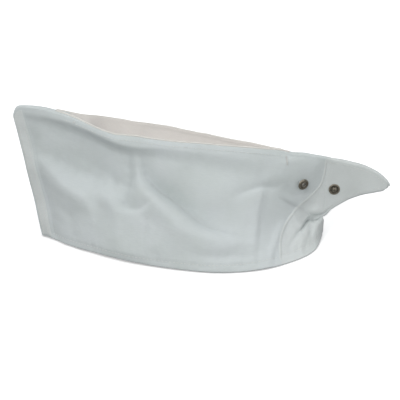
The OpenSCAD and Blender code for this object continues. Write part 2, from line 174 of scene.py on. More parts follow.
def stroke(x, z, points, height, before, after, power=2.0):
    """A fold along points.

    height is one for each point; before and after are its widths on the left and on the
    right of the way it runs; a lower power gives a sharper ridge.
    """
    run = np.linspace(0, len(points) - 1, 2 * len(points) - 1)
    h = np.interp(run, np.arange(len(points)), height)
    h = mix(h, np.convolve(np.pad(h, 1, mode="edge"), [0.25, 0.5, 0.25], "valid"), 0.6)
    p = curve(points, run)
    dists, values = [], []
    for i in range(len(p) - 1):
        d = p[i + 1] - p[i]
        n = d @ d
        t = np.clip(((x - p[i, 0]) * d[0] + (z - p[i, 1]) * d[1]) / n, 0, 1)
        ex, ez = x - p[i, 0] - t * d[0], z - p[i, 1] - t * d[1]
        dist = np.hypot(ex, ez)
        # beyond the fold's ends the width goes round smoothly from one side's to the other's
        turn = (d[0] * ez - d[1] * ex) / (math.sqrt(n) * np.maximum(dist, 0.05))
        width = mix(after, before, ease(0.5 + 0.5 * turn))
        dists.append(dist)
        values.append(mix(h[i], h[i + 1], t) * np.exp(-(dist / width) ** power))
    # the nearest stretches share the value, so that no step shows between them
    dists, values = np.array(dists), np.array(values)
    share = np.exp(-(dists - dists.min(0)) / (1.2 + 0.12 * dists.min(0)))
    return (values * share).sum(0) / share.sum(0)


# Each fold: points [x, z], heights, width above or in front, width below or behind, sharpness.
# A run towards +X has "above" on its left.
LEFT_FOLDS = [
    # the padded band under the crest, and the hollow below it
    ([[-135, 103], [-120, 101], [-105, 97.5], [-90, 93], [-75, 88], [-62, 84], [-50, 82.8],
      [-34, 81.8]],
     [0.9, 2.4, 3.4, 4.1, 4.4, 4.2, 2.8, 0], 8.5, 3.2, 2),
    ([[-64, 84.6], [-50, 82.8], [-36, 82], [-24, 80.6], [-8, 78.2], [15, 74], [45, 68]],
     [0, 1.3, 3.2, 3.4, 3.0, 2.2, 0.2], 8.5, 4.5, 2),
    ([[-127, 75], [-115, 69], [-100, 62], [-86, 58], [-72, 56], [-62, 59]],
     [-1.8, -5.0, -8.4, -10.0, -9.2, -4.4], 23, 9, 2),
    ([[-118, 93], [-102, 88.5], [-86, 83.5], [-72, 79], [-62, 77]],
     [-0.6, -1.8, -2.4, -2.4, -1.0], 3.6, 10, 1.9),
    # ridges below the hollow
    ([[-126, 62], [-117, 55], [-108, 48.5], [-98, 43], [-90, 37], [-87, 26], [-89, 10]],
     [1.2, 2.6, 3.3, 3.2, 2.8, 1.8, 0.6], 5, 13, 2),
    ([[-77, 54], [-72, 45], [-68, 36], [-66, 18]], [2.2, 3.2, 2.6, 0.8], 5, 8, 1.7),
    # the tent between the two dark wedges, and the flare under it
    ([[-56, 83], [-58, 68], [-59.5, 54], [-61, 43]], [-0.8, -2.8, -4.0, -2.6], 6, 5, 1.6),
    ([[-52.5, 80], [-51, 66], [-50, 50]], [0.4, 1.4, 0], 4, 4, 2),
    ([[-68, 45], [-63, 40.5], [-57, 39], [-50, 40.5], [-42, 46]],
     [-0.6, -2.4, -3.0, -2.4, -0.8], 7, 2.4, 1.8),
    ([[-127, -2], [-108, -2], [-88, -2], [-60, -2], [-42, -2], [-15, -2], [15, -2]],
     [1.6, 2.4, 3.0, 4.4, 3.6, 1.6, 0.6], 26, 26, 2),
    ([[-86, 6], [-74, 7], [-60, 8], [-48, 9], [-38, 9]], [0, 2.6, 3.4, 2.6, 0], 25, 9, 2),
    # the long diagonal valley and the ridge under it
    ([[-50, 80], [-47, 69], [-43, 61], [-37, 55.5], [-29, 51], [-20, 46.5], [-11, 40.5],
      [-3, 35], [6, 31], [16, 28], [28, 24]],
     [-1.2, -4.4, -7.8, -9.4, -9.4, -8.6, -7.0, -5.2, -3.6, -1.8, 0], 10, 4.2, 1.7),
    ([[-44, 60], [-34, 54], [-20, 46.5], [-3, 35], [16, 28], [38, 21]],
     [-0.6, -2.4, -4.0, -4.8, -3.8, -0.4], 25, 3.5, 2),
    ([[-38, 48], [-31, 41.5], [-23, 34], [-15, 27.5], [-5, 23.5], [6, 21], [18, 18], [32, 15]],
     [2.2, 3.2, 3.2, 3.0, 2.6, 2.2, 1.6, 0], 4.8, 9, 1.9),
    ([[-45, 38], [-44, 26], [-45, 12]], [0, -0.7, 0], 3, 1.6, 1.5),
    ([[-115, 30], [-107, 24], [-101, 12]], [-0.5, -1.1, -0.6], 6, 6, 2),
    # behind the front strip
    ([[-137, 98], [-134, 82], [-130, 57], [-126, 34], [-121, 6]],
     [-0.2, -0.9, -1.7, -2.2, -1.6], 5.5, 2, 1.7),
    # ironing fold under the press stud
    ([[22, 47.5], [33, 50], [42, 51], [50, 50], [57, 48]],
     [0, -1.6, -2.6, -2.4, -1.0], 4, 2.4, 1.6),
    ([[44, 46], [42, 36], [40, 25], [38, 8]], [1.0, 1.2, 1.0, 0.3], 2, 10, 1.6),
    ([[54, 47], [64, 43], [75, 40.5], [86, 40]], [-1.0, -1.8, -1.6, -0.5], 7, 6, 2),
    ([[60, 20], [52, 10], [48, 2]], [0.7, 1.3, 0.5], 3, 4, 2),
    ([[0, 68], [18, 64], [40, 58]], [-0.8, -2.0, -0.8], 7, 9, 2),
    ([[-8, 12.5], [10, 10.5], [24, 11], [38, 9]], [-0.4, -1.8, -1.8, -0.6], 4, 3.5, 2),
    ([[62, 66], [70, 67], [78, 65.5]], [0.3, 0.8, 0.3], 3, 4, 2),
]
# The rear band: the crease that the tail's root leaves in it, and the folds below the crease
BAND_FOLDS = [
    ([[98, 18.4], [91, 17.6], [84, 16.2], [78, 14.4], [71, 11.3], [65, 7]],
     [-6.0, -6.0, -4.6, -2.6, -1.2, 0], 1.4, 1.2, 1.6),
    ([[70, 15], [78, 11], [86, 11.5], [92, 13]], [0.4, 1.5, 1.2, 0.6], 2.6, 5, 2),
    ([[85, 12], [81, 7], [78, 1]], [-0.5, -0.8, -0.5], 4, 1.8, 1.7),
]
# The right side doesn't show in the photo, and its folds are made up
RIGHT_FOLDS = [
    ([[-134, 100], [-112, 97], [-80, 88], [-50, 82], [0, 76], [50, 69]],
     [0.8, 1.8, 2.4, 2.2, 1.8, 0], 6, 3.5, 2),
    ([[-128, 78], [-104, 68], [-84, 58], [-60, 54]], [-1.4, -4.2, -4.6, -1.2], 14, 9, 2),
    ([[-126, 60], [-108, 48], [-92, 34], [-86, 12]], [0.8, 2.6, 2.4, 0.3], 6, 8, 2),
    ([[-62, 80], [-54, 58], [-38, 40], [-12, 26], [12, 18]],
     [-0.8, -4.2, -4.8, -3.0, 0], 9, 4, 1.7),
    ([[-44, 44], [-24, 30], [0, 16]], [1.4, 2.6, 0.5], 5, 7, 2),
    ([[8, 70], [22, 48], [30, 26], [34, 6]], [-0.6, -3.2, -2.6, -0.5], 7, 4, 1.8),
    ([[18, 60], [34, 44], [44, 20]], [0.6, 2.2, 0.4], 6, 8, 2),
    ([[-136, 92], [-129, 60], [-124, 26], [-119, 4]], [-0.4, -1.4, -1.6, -0.8], 5, 1.6, 1.6),
]
# Height of the hem's row of stitches, and the press stud's socket as [x, z]
HEM_ROW_Z = 4.8
SOCKET = np.array([78.4, 47.7])


def ripple(x, z, seed, waves=((60, 0.35), (34, 0.22), (19, 0.12), (11, 0.06))):
    """Low, soft unevenness of cloth that has been washed and pressed."""
    rng = np.random.default_rng(seed)
    out = 0
    for length, height in waves:
        for _ in range(4):
            a, phase = rng.uniform(0, math.pi), rng.uniform(0, 2 * math.pi)
            along = x * math.cos(a) + z * math.sin(a)
            out = out + 0.5 * height * np.cos(2 * math.pi / length * along + phase)
    return out


def relief(x, z, side):
    out = ripple(x, z, 3 if side == "left" else 11)
    for fold in LEFT_FOLDS if side == "left" else RIGHT_FOLDS:
        out = out + stroke(x, z, *fold)
    # the stitched hem is drawn in along its row, and puckers a little
    row = np.exp(-((z - HEM_ROW_Z) / 0.9) ** 2)
    pucker = np.cos(2 * math.pi * x / 6.3) * np.exp(-((z - HEM_ROW_Z) / 4) ** 2)
    out = out - 0.3 * row + 0.12 * pucker
    # both layers of cloth lie together behind the fold line, and the cloth is flat round the socket
    flat = ease((ahead(x, z) - 1) / 9)
    flat = np.where(z < SHOULDER_Z + 3, mix(1, flat, ease((z - 12) / 7)), flat)
    near = ease((np.hypot(x - SOCKET[0], z - SOCKET[1]) - 4.6) / 7)
    # the layers part again just above the tail's root
    swell = 1.4 * np.exp(-((x - 88) / 6.5) ** 2 - ((z - 22.5) / 4) ** 2)
    band = sum(stroke(x, z, *fold) for fold in BAND_FOLDS)
    return out * flat * (near if side == "left" else 1) + swell + band


def sway(x, z):
    """Sideways bend of the tail's two layers together; none round the stud."""
    wave = 1.4 * np.sin((x - 114) / 8 + z / 12)
    return ease((x - 109) / 12) * (wave - 1.2 * ease((x - 125) / 20))


def wall_normal(u, v, side):
    e = 0.02
    du = wall(np.minimum(u + e, LAST), v, side) - wall(np.maximum(u - e, 0), v, side)
    dv = wall(u, np.minimum(v + e, 1), side) - wall(u, np.maximum(v - e, 0), side)
    n = np.cross(du, dv)
    return n / np.linalg.norm(n, axis=-1, keepdims=True)


def cloth(u, v, side):
    """Outer face of the folded cloth."""
    p = wall(u, v, side)
    p = p + relief(p[..., 0], p[..., 2], side)[..., None] * wall_normal(u, v, side)
    p[..., 1] = np.minimum(p[..., 1], -0.6)
    p[..., 2] = np.maximum(p[..., 2], LOWEST)
    return p


def cloth_normal(u, v, side):
    e = 0.03
    du = cloth(np.minimum(u + e, LAST), v, side) - cloth(np.maximum(u - e, 0), v, side)
    dv = cloth(u, np.minimum(v + e, 1), side) - cloth(u, np.maximum(v - e, 0), side)
    n = np.cross(du, dv)
    return n / np.linalg.norm(n, axis=-1, keepdims=True)


# ---- meshes -------------------------------------------------------------------

def unit(a):
    return a / np.maximum(np.linalg.norm(a, axis=-1, keepdims=True), 1e-9)


class Sheet:
    """Cloth made of grids of points. Grids that share points are sewn into one sheet."""

    def __init__(self):
        self.points, self.quads, self.uv, self.count = [], [], [], 0

    def add(self, grid, uv):
        rows, cols = grid.shape[:2]
        i = self.count + np.arange(rows * cols).reshape(rows, cols)
        self.points.append(grid.reshape(-1, 3))
        self.uv.append(uv.reshape(-1, 2))
        corners = [i[:-1, :-1], i[:-1, 1:], i[1:, 1:], i[1:, :-1]]
        self.quads.append(np.stack(corners, -1).reshape(-1, 4))
        self.count += rows * cols

    def sewn(self):
        p, uv = np.concatenate(self.points), np.concatenate(self.uv)
        q = np.concatenate(self.quads)
        _, first, place = np.unique(np.round(p, 3), axis=0, return_index=True, return_inverse=True)
        return p[first], uv[first], place.reshape(-1)[q]


def faces_from(q):
    """Quads as lists without repeated corners."""
    out = []
    for f in q.tolist():
        f = [a for i, a in enumerate(f) if a != f[i - 1]]
        if len(f) > 2 and len(set(f)) == len(f):
            out.append(f)
    return out


def make(name, points, faces, uv=None, mirror=False, sharp=50):
    points = np.array(points, float)
    if mirror:
        points[:, 1] *= -1
        faces = [f[::-1] for f in faces]
    mesh = bpy.data.meshes.new(name)
    mesh.from_pydata((points * MM).tolist(), [], faces)
    if uv is not None:
        layer = mesh.uv_layers.new(name="cloth_mm")
        index = np.zeros(len(mesh.loops), int)
        mesh.loops.foreach_get("vertex_index", index)
        layer.data.foreach_set("uv", (uv[index] * MM).astype(np.float32).ravel())
    mesh.shade_smooth()
    mesh.set_sharp_from_angle(angle=math.radians(sharp))
    mesh.validate()
    obj = bpy.data.objects.new(name, mesh)
    bpy.context.scene.collection.objects.link(obj)
    return obj


def thicken(name, sheet, thick=CLOTH, mirror=False):
    """The sheet is the outer face; the cloth lies under it."""
    p, uv, q = sheet.sewn()
    faces = faces_from(q)
    normal = np.zeros_like(p)
    for f in faces:
        n = np.cross(p[f[2]] - p[f[0]], p[f[-1]] - p[f[1]])
        for a in f:
            normal[a] += n
    normal = unit(normal)
    inner = p - normal * thick
    n = len(p)
    used = {}
    for f in faces:
        for a, b in zip(f, f[1:] + f[:1]):
            used[(a, b)] = True
    rim = [[b, a, a + n, b + n] for a, b in used if (b, a) not in used]
    faces = faces + [[a + n for a in f[::-1]] for f in faces] + rim
    return make(name, np.concatenate([p, inner]), faces, np.concatenate([uv, uv]), mirror)


def lengths(path):
    return np.concatenate([[0], np.cumsum(np.linalg.norm(np.diff(path, axis=0), axis=1))])


def roll(edge, along, inward, reach, depth, turn, steps):
    """Rows that carry a grid's edge on round a turn."""
    rows = []
    for k in range(1, steps + 1):
        a = np.radians(turn) * k / steps
        out, down = reach * np.sin(a), depth * (1 - np.cos(a))
        rows.append(edge + along * out[:, None] + inward * down[:, None])
    return np.stack(rows)


def to_middle(edge):
    """Direction and distance from an edge to the middle plane."""
    return np.tile([0.0, 1.0, 0.0], (len(edge), 1)), -edge[:, 1] - 0.04


def flat_along(d):
    """Directions laid flat in the middle plane."""
    d = d.copy()
    d[:, 1] = 0
    return unit(d)


def grid_uv(grid):
    """Millimetres along and up the cloth."""
    mid = grid[grid.shape[0] // 2]
    u = np.broadcast_to(lengths(mid), grid.shape[:2])
    steps = np.linalg.norm(np.diff(grid, axis=0), axis=-1)
    v = np.concatenate([np.zeros((1, grid.shape[1])), np.cumsum(steps, 0)])
    return np.stack([u, v], -1)


def crest_v(u):
    """Where the wall stops and the rolled crest starts."""
    return 1 - 1.1 / curve(SECTIONS, u)[..., 4]


def opened(u):
    """1 where the crown is open, 0 where its two edges are sewn together."""
    return ease((u - 3.75) / 0.9) * (1 - ease((u - 8.5) / 0.7))


def foot_rows(grid, radius=0.9, steps=4):
    """The bottom edge turned under: rows below the grid's first row."""
    down = unit(grid[0] - grid[1])
    side = unit(np.gradient(grid[0], axis=0))
    inward = unit(np.cross(down, side))
    inward *= np.sign(-inward[:, 1] * grid[0][:, 1])[:, None]
    full = np.full(len(down), radius)
    return roll(grid[0], down, inward, full, full, np.full(len(down), 90.0), steps)[::-1]


# How far round, in degrees, an open rim is rolled, and its radius
RIM_TURN = 128.0
RIM_R = 1.7


def crest_rows(grid, u, steps=9):
    """The crest rolled over: open rims curl in, closed ones meet in the middle."""
    edge, up = grid[-1], unit(grid[-1] - grid[-2])
    side = unit(np.gradient(edge, axis=0))
    inward = -unit(np.cross(side, up))
    inward *= np.sign(inward[:, 1] + 1e-9)[:, None]
    middle, half = to_middle(edge)
    o = opened(u)
    shut = np.minimum(half, 6)
    w = o[:, None]
    return roll(edge, unit(mix(flat_along(up), up, w)), unit(mix(middle, inward, w)),
                mix(np.minimum(shut, 1.8), RIM_R, o), mix(shut, RIM_R, o),
                mix(90.0, RIM_TURN, o), steps)


def side_sheet(side):
    cols, rows = 210, 78
    v = np.linspace(1.0 / 90, 1, rows)[:, None] * crest_v(5.0)
    s = np.linspace(0, 1, cols + 1)[None, :]
    u = FRONT_U + s * (lap_u(v) - FRONT_U)
    v = v / crest_v(5.0) * crest_v(u)
    grid = cloth(u, v, side)
    edge = grid[:, 0]
    middle, half = to_middle(edge)
    front = roll(edge, flat_along(edge - grid[:, 1]), middle, np.full(rows, 1.8), half,
                 np.full(rows, 90.0), 5)
    grid = np.concatenate([front[::-1].transpose(1, 0, 2), grid], 1)
    top_u = np.concatenate([np.full(5, FRONT_U), u[-1]])
    grid = np.concatenate([foot_rows(grid), grid, crest_rows(grid, top_u)])
    sheet = Sheet()
    sheet.add(grid, grid_uv(grid))
    return sheet


def fin_grid(edge, w):
    """Outer face of the tail behind the spine.

    edge is the spine's column, and w goes from 0 to 1 up it.
    """
    s = np.concatenate([np.linspace(0, 0.1, 7)[1:], np.linspace(0.1, 0.86, 48)[1:]])
    top, low = curve(TAIL_TOP, s * TAIL_SPANS), curve(TAIL_LOW, s * TAIL_SPANS)
    across = unit(top - low)
    inset = (TAIL_Y * ease(s / 0.07))[:, None]
    low = low + across * inset
    top = top - across * mix(1.1, TAIL_Y, ease(s / 0.07))[:, None]
    xz = low[None] + (top - low)[None] * w[:, None, None]
    # the first columns turn smoothly out of the spine
    t = ease(s / 0.12)[None, :]
    start = edge[:, None, :] + (xz[..., 0] - xz[:, :1, 0])[..., None] * np.array([1, 0, 0])
    x = mix(start[..., 0], xz[..., 0], t)
    z = mix(start[..., 2], xz[..., 1], t)
    y = mix(np.broadcast_to(edge[:, 1:2], x.shape), -TAIL_Y, t)
    return np.stack([x, y, z], -1), s


def rear_sheet(side):
    body = 34
    # rows lie closer together at the crease under the tail
    low_v = mix(0.012, ROOT_V, 1 - (1 - np.linspace(0, 1, 26)) ** 1.5)
    high_v = mix(ROOT_V, 1, np.linspace(0, 1, 56) ** 1.4)
    sheet = Sheet()

    def columns(v):
        s = np.linspace(0, 1, body + 1)[None, :]
        return mix(lap_u(v)[:, None], LAST, s)

    grid = cloth(columns(low_v), low_v[:, None], side)
    closing = grid[:, -1:] + np.array([0.4, 0, 0])
    closing[..., 1] = -0.04
    band = np.concatenate([grid, (grid[:, -1:] + closing) / 2 + np.array([0.15, 0, 0]), closing], 1)
    band = np.concatenate([foot_rows(band), band])
    sheet.add(band, grid_uv(band))

    u = columns(high_v)
    v = high_v[:, None]
    v = v * np.where(v > 0.9, mix(1, crest_v(u), ease((v - 0.9) / 0.1)), 1)
    grid = cloth(u, v, side)
    grid[0] = cloth(columns(low_v)[-1:], low_v[-1:, None], side)[0]
    fin, s = fin_grid(grid[:, -1], (high_v - ROOT_V) / (1 - ROOT_V))
    grid = np.concatenate([grid, fin], 1)
    edge = grid[:, -1]
    middle, half = to_middle(edge)
    tip = roll(edge, flat_along(edge - grid[:, -2]), middle, np.full(len(edge), 1.7), half,
               np.full(len(edge), 90.0), 5)
    grid = np.concatenate([grid, tip.transpose(1, 0, 2)], 1)
    lower = grid[:2, body:]
    middle, half = to_middle(lower[0])
    reach = TAIL_Y * np.concatenate([[0.02], np.maximum(ease(s / 0.07), 0.02), np.full(5, 1.0)])
    reach[-5:] *= np.array([0.95, 0.81, 0.59, 0.31, 0.05])
    under = roll(lower[0], flat_along(lower[0] - lower[1]), middle, reach, half,
                 np.full(len(half), 90.0), 5)
    over = crest_rows(grid, np.full(grid.shape[1], float(LAST)), 6)
    grid_all = np.concatenate([grid, over])
    uv = grid_uv(grid_all) + np.array([0.0, 18.0])
    # the right layer is mirrored afterwards, so that both sway the same way
    way = 1 if side == "left" else -1
    grid_all[..., 1] += sway(grid_all[..., 0], grid_all[..., 2]) * way
    sheet.add(grid_all, uv)
    under = np.concatenate([under[::-1], lower[:1]])
    under[..., 1] += sway(under[..., 0], under[..., 2]) * way
    sheet.add(under, grid_uv(under))
    return sheet


def rim_path(side, lift=0.3, turn=60.0):
    """Along the top of the rolled rim."""
    u = np.linspace(3.3, 8.95, 150)
    v = np.stack([crest_v(u) - 0.012, crest_v(u)])
    grid = cloth(np.stack([u, u]), v, side)
    rows = crest_rows(grid, u, 33)
    t = np.clip(turn / mix(90.0, RIM_TURN, opened(u)) * 33, 0, 32).astype(int)
    p = rows[t, np.arange(len(u))]
    return p + np.array([0, 0, lift]), u


def tube(path, radius, sides=10):
    """Cord along a path, with tapered ends."""
    path = np.asarray(path, float)
    n = len(path)
    t = unit(np.gradient(path, axis=0))
    a = unit(np.cross(t, np.tile([0.0, 1.0, 0.001], (n, 1))))
    b = np.cross(t, a)
    k = np.linspace(0, 2 * math.pi, sides, endpoint=False)
    from_end = np.minimum(np.arange(n), np.arange(n)[::-1])
    taper = np.sqrt(np.clip(1 - (1 - from_end / 3).clip(0, 1) ** 2, 0.05, 1))
    r = (np.broadcast_to(radius, n) * taper)[:, None, None]
    round_it = a[:, None] * np.cos(k)[None, :, None] + b[:, None] * np.sin(k)[None, :, None]
    p = path[:, None] + r * round_it
    i = np.arange(n * sides).reshape(n, sides)
    j = np.roll(i, -1, 1)
    quads = np.stack([i[:-1], j[:-1], j[1:], i[1:]], -1).reshape(-1, 4)
    caps = [i[0][::-1].tolist(), i[-1].tolist()]
    s = np.repeat(lengths(path)[:, None], sides, 1)
    uv = np.stack([s, np.broadcast_to(k[None] * 2, s.shape)], -1).reshape(-1, 2)
    return p.reshape(-1, 3), quads.tolist() + caps, uv


def cord(name, path, radius, mirror=False):
    p, f, uv = tube(path, radius)
    return make(name, p, [x[::-1] for x in f], uv, mirror, sharp=80)


def ribbon(name, centre, across, normal, width, height, mirror=False, sink=0.35):
    """Raised seam with round edges, lying on the cloth."""
    k = np.linspace(-1, 1, 11)
    rise = height * (1 - np.abs(k) ** 3.5)
    w = np.broadcast_to(width, len(centre))[:, None, None] / 2
    ends = np.minimum(np.arange(len(centre)), np.arange(len(centre))[::-1])[:, None]
    rise = rise[None] * ease(ends / 2.0 + 0.15)
    grid = centre[:, None] + across[:, None] * k[None, :, None] * w
    grid = (grid + normal[:, None] * rise[..., None]).transpose(1, 0, 2)[::-1]
    sheet = Sheet()
    sheet.add(grid, grid_uv(grid))
    return thicken(name, sheet, sink, mirror)


STITCH_R = 0.2
# Pitch and length of the stitches
FINE, HEM = (2.8, 2.0), (3.0, 2.2)


def stitch_row(path, normal, pitch, length, seed):
    """Separate stitches along a path, each dipping into the cloth at its ends."""
    rng = np.random.default_rng(seed)
    run = lengths(path)
    count = int(run[-1] // pitch)
    points, faces = [], []
    for i in range(count):
        middle = (i + 0.5) * pitch + rng.normal(0, 0.08)
        s = middle + length * np.linspace(-0.5, 0.5, 6) * rng.uniform(0.94, 1.04)
        p = np.stack([np.interp(s, run, path[:, c]) for c in range(3)], -1)
        n = unit(np.stack([np.interp(s, run, normal[:, c]) for c in range(3)], -1))
        lift = np.array([-0.16, 0.1, 0.17, 0.17, 0.1, -0.16])
        q, f, _ = tube(p + n * lift[:, None], STITCH_R * rng.uniform(0.92, 1.08), 6)
        base = sum(len(x) for x in points)
        points.append(q)
        faces += [[a + base for a in x[::-1]] for x in f]
    return points, faces


def thread_piece(name, rows):
    """One object holding rows of stitches: (path, normal, mirrored, pitch, length)."""
    points, faces, total = [], [], 0
    for seed, (path, normal, mirrored, pitch, length) in enumerate(rows):
        p, f = stitch_row(path, normal, pitch, length, seed + 1)
        p = np.concatenate(p)
        if mirrored:
            p = p * np.array([1, -1, 1])
            f = [x[::-1] for x in f]
        points.append(p)
        faces += [[a + total for a in x] for x in f]
        total += len(p)
    return make(name, np.concatenate(points), faces, sharp=80)


def on_cloth(u, v, side, lift=0.0):
    n = cloth_normal(u, v, side)
    return cloth(u, v, side) + n * lift, n


# ---- materials ----------------------------------------------------------------

def material(name):
    m = bpy.data.materials.new(name)
    m.use_nodes = True
    m.node_tree.nodes.clear()
    return m, m.node_tree.nodes, m.node_tree.links


def node(nodes, kind, **values):
    n = nodes.new(kind)
    for k, v in values.items():
        if k in n.inputs:
            n.inputs[k].default_value = v
        else:
            setattr(n, k, v)
    return n


def scaled(nodes, links, source, output, factor):
    m = node(nodes, "ShaderNodeVectorMath", operation="SCALE")
    m.inputs["Scale"].default_value = factor
    links.new(source.outputs[output], m.inputs[0])
    return m


def ramp(nodes, links, source, stops, output="Fac"):
    r = nodes.new("ShaderNodeValToRGB")
    e = r.color_ramp.elements
    while len(e) < len(stops):
        e.new(0.5)
    for x, (place, colour) in zip(e, stops):
        x.position, x.color = place, (*colour, 1)
    links.new(source.outputs[output], r.inputs["Fac"])
    return r


def woven(name, light, dark, sheen=0.25, thread=0.55, weave=0.5, rough=(0.72, 0.9)):
    """Twill cotton: diagonal ribs, slubs, uneven colour, painted shade in its creases and a soft sheen."""
    m, nodes, links = material(name)
    out = node(nodes, "ShaderNodeOutputMaterial")
    bsdf = node(nodes, "ShaderNodeBsdfPrincipled")
    links.new(bsdf.outputs[0], out.inputs[0])
    place = node(nodes, "ShaderNodeTexCoord")
    uv = node(nodes, "ShaderNodeUVMap", uv_map="cloth_mm")
    mm = scaled(nodes, links, uv, "UV", 1000)
    where = scaled(nodes, links, place, "Object", 1000)
    blotch = node(nodes, "ShaderNodeTexNoise", Scale=0.022, Detail=4.0, Roughness=0.6)
    links.new(where.outputs[0], blotch.inputs["Vector"])
    colour = ramp(nodes, links, blotch, [(0.3, dark), (0.7, light)])
    slub = node(nodes, "ShaderNodeTexNoise", Scale=1.3, Detail=3.0, Roughness=0.7)
    stretch = node(nodes, "ShaderNodeMapping")
    stretch.inputs["Scale"].default_value = (0.12, 1.0, 1.0)
    links.new(mm.outputs[0], stretch.inputs["Vector"])
    links.new(stretch.outputs[0], slub.inputs["Vector"])
    tone = ramp(nodes, links, slub, [(0.3, (0.94, 0.945, 0.95)), (0.7, (1, 1, 1))])
    mixed = node(nodes, "ShaderNodeMix", data_type="RGBA", blend_type="MULTIPLY")
    mixed.inputs[0].default_value = 1
    links.new(colour.outputs[0], mixed.inputs[6])
    links.new(tone.outputs[0], mixed.inputs[7])
    # painted shade: creases and hollows, where pointiness is low, are darkened to about 0.86
    shape = node(nodes, "ShaderNodeNewGeometry")
    crease_shade = ramp(nodes, links, shape, [(0.44, (0.86, 0.865, 0.87)), (0.5, (1, 1, 1))], "Pointiness")
    final = node(nodes, "ShaderNodeMix", data_type="RGBA", blend_type="MULTIPLY")
    final.inputs[0].default_value = 0.8
    links.new(mixed.outputs[2], final.inputs[6])
    links.new(crease_shade.outputs[0], final.inputs[7])
    links.new(final.outputs[2], bsdf.inputs["Base Color"])
    # ribs of the twill, broken up by the slubs
    turn = node(nodes, "ShaderNodeMapping")
    turn.inputs["Rotation"].default_value = (0, 0, math.radians(58))
    links.new(mm.outputs[0], turn.inputs["Vector"])
    ribs = node(nodes, "ShaderNodeTexWave", Scale=0.314 / thread, Distortion=0.6, Detail=1.0)
    links.new(turn.outputs[0], ribs.inputs["Vector"])
    picks = node(nodes, "ShaderNodeTexWave", Scale=0.314 / (thread * 0.8), Distortion=0.4,
                 bands_direction="Y")
    links.new(mm.outputs[0], picks.inputs["Vector"])
    height = node(nodes, "ShaderNodeMath", operation="MULTIPLY")
    links.new(ribs.outputs["Fac"], height.inputs[0])
    links.new(picks.outputs["Fac"], height.inputs[1])
    uneven = node(nodes, "ShaderNodeMath", operation="ADD")
    links.new(height.outputs[0], uneven.inputs[0])
    links.new(slub.outputs["Fac"], uneven.inputs[1])
    bump = node(nodes, "ShaderNodeBump", Strength=weave, Distance=0.00012)
    links.new(uneven.outputs[0], bump.inputs["Height"])
    crumple = node(nodes, "ShaderNodeTexNoise", Scale=0.11, Detail=5.0, Roughness=0.55)
    links.new(where.outputs[0], crumple.inputs["Vector"])
    soft = node(nodes, "ShaderNodeBump", Strength=0.35, Distance=0.0012)
    links.new(crumple.outputs["Fac"], soft.inputs["Height"])
    links.new(bump.outputs[0], soft.inputs["Normal"])
    links.new(soft.outputs[0], bsdf.inputs["Normal"])
    dull = node(nodes, "ShaderNodeMapRange", **{"To Min": rough[0], "To Max": rough[1]})
    links.new(slub.outputs["Fac"], dull.inputs["Value"])
    links.new(dull.outputs[0], bsdf.inputs["Roughness"])
    bsdf.inputs["Sheen Weight"].default_value = sheen
    bsdf.inputs["Sheen Roughness"].default_value = 0.45
    bsdf.inputs["Sheen Tint"].default_value = (0.9, 0.96, 1, 1)
    bsdf.inputs["Specular IOR Level"].default_value = 0.25
    return m


def thread_material():
    m, nodes, links = material("cotton_thread")
    out = node(nodes, "ShaderNodeOutputMaterial")
    bsdf = node(nodes, "ShaderNodeBsdfPrincipled")
    links.new(bsdf.outputs[0], out.inputs[0])
    place = node(nodes, "ShaderNodeTexCoord")
    where = scaled(nodes, links, place, "Object", 1000)
    twist = node(nodes, "ShaderNodeTexWave", Scale=0.9, Distortion=1.5, bands_direction="DIAGONAL")
    links.new(where.outputs[0], twist.inputs["Vector"])
    colour = ramp(nodes, links, twist, [(0.0, (0.60, 0.61, 0.59)), (0.8, (0.74, 0.745, 0.725))])
    links.new(colour.outputs[0], bsdf.inputs["Base Color"])
    bump = node(nodes, "ShaderNodeBump", Strength=0.5, Distance=0.00008)
    links.new(twist.outputs["Fac"], bump.inputs["Height"])
    links.new(bump.outputs[0], bsdf.inputs["Normal"])
    dull = node(nodes, "ShaderNodeMapRange", **{"To Min": 0.5, "To Max": 0.7})
    links.new(twist.outputs["Fac"], dull.inputs["Value"])
    links.new(dull.outputs[0], bsdf.inputs["Roughness"])
    bsdf.inputs["Sheen Weight"].default_value = 0.3
    return m


def metal(name, bright, dull, rough):
    """Plated metal that is worn bright on its edges and dark in its grooves."""
    m, nodes, links = material(name)
    out = node(nodes, "ShaderNodeOutputMaterial")
    bsdf = node(nodes, "ShaderNodeBsdfPrincipled", Metallic=0.9)
    links.new(bsdf.outputs[0], out.inputs[0])
    place = node(nodes, "ShaderNodeTexCoord")
    where = scaled(nodes, links, place, "Object", 1000)
    grime = node(nodes, "ShaderNodeTexNoise", Scale=0.9, Detail=6.0, Roughness=0.65)
    links.new(where.outputs[0], grime.inputs["Vector"])
    base = ramp(nodes, links, grime, [(0.38, dull), (0.66, bright)])
    shape = node(nodes, "ShaderNodeNewGeometry")
    edge = ramp(nodes, links, shape, [(0.5, (0, 0, 0)), (0.62, (1, 1, 1))], "Pointiness")
    mixed = node(nodes, "ShaderNodeMix", data_type="RGBA")
    links.new(edge.outputs[0], mixed.inputs[0])
    links.new(base.outputs[0], mixed.inputs[6])
    mixed.inputs[7].default_value = tuple(min(1, c * 2.2) for c in bright) + (1,)
    links.new(mixed.outputs[2], bsdf.inputs["Base Color"])
    fine = node(nodes, "ShaderNodeTexNoise", Scale=6.0, Detail=3.0)
    links.new(where.outputs[0], fine.inputs["Vector"])
    spread = node(nodes, "ShaderNodeMapRange", **{"To Min": rough[0], "To Max": rough[1]})
    links.new(grime.outputs["Fac"], spread.inputs["Value"])
    links.new(spread.outputs[0], bsdf.inputs["Roughness"])
    bump = node(nodes, "ShaderNodeBump", Strength=0.25, Distance=0.00005)
    links.new(fine.outputs["Fac"], bump.inputs["Height"])
    links.new(bump.outputs[0], bsdf.inputs["Normal"])
    return m
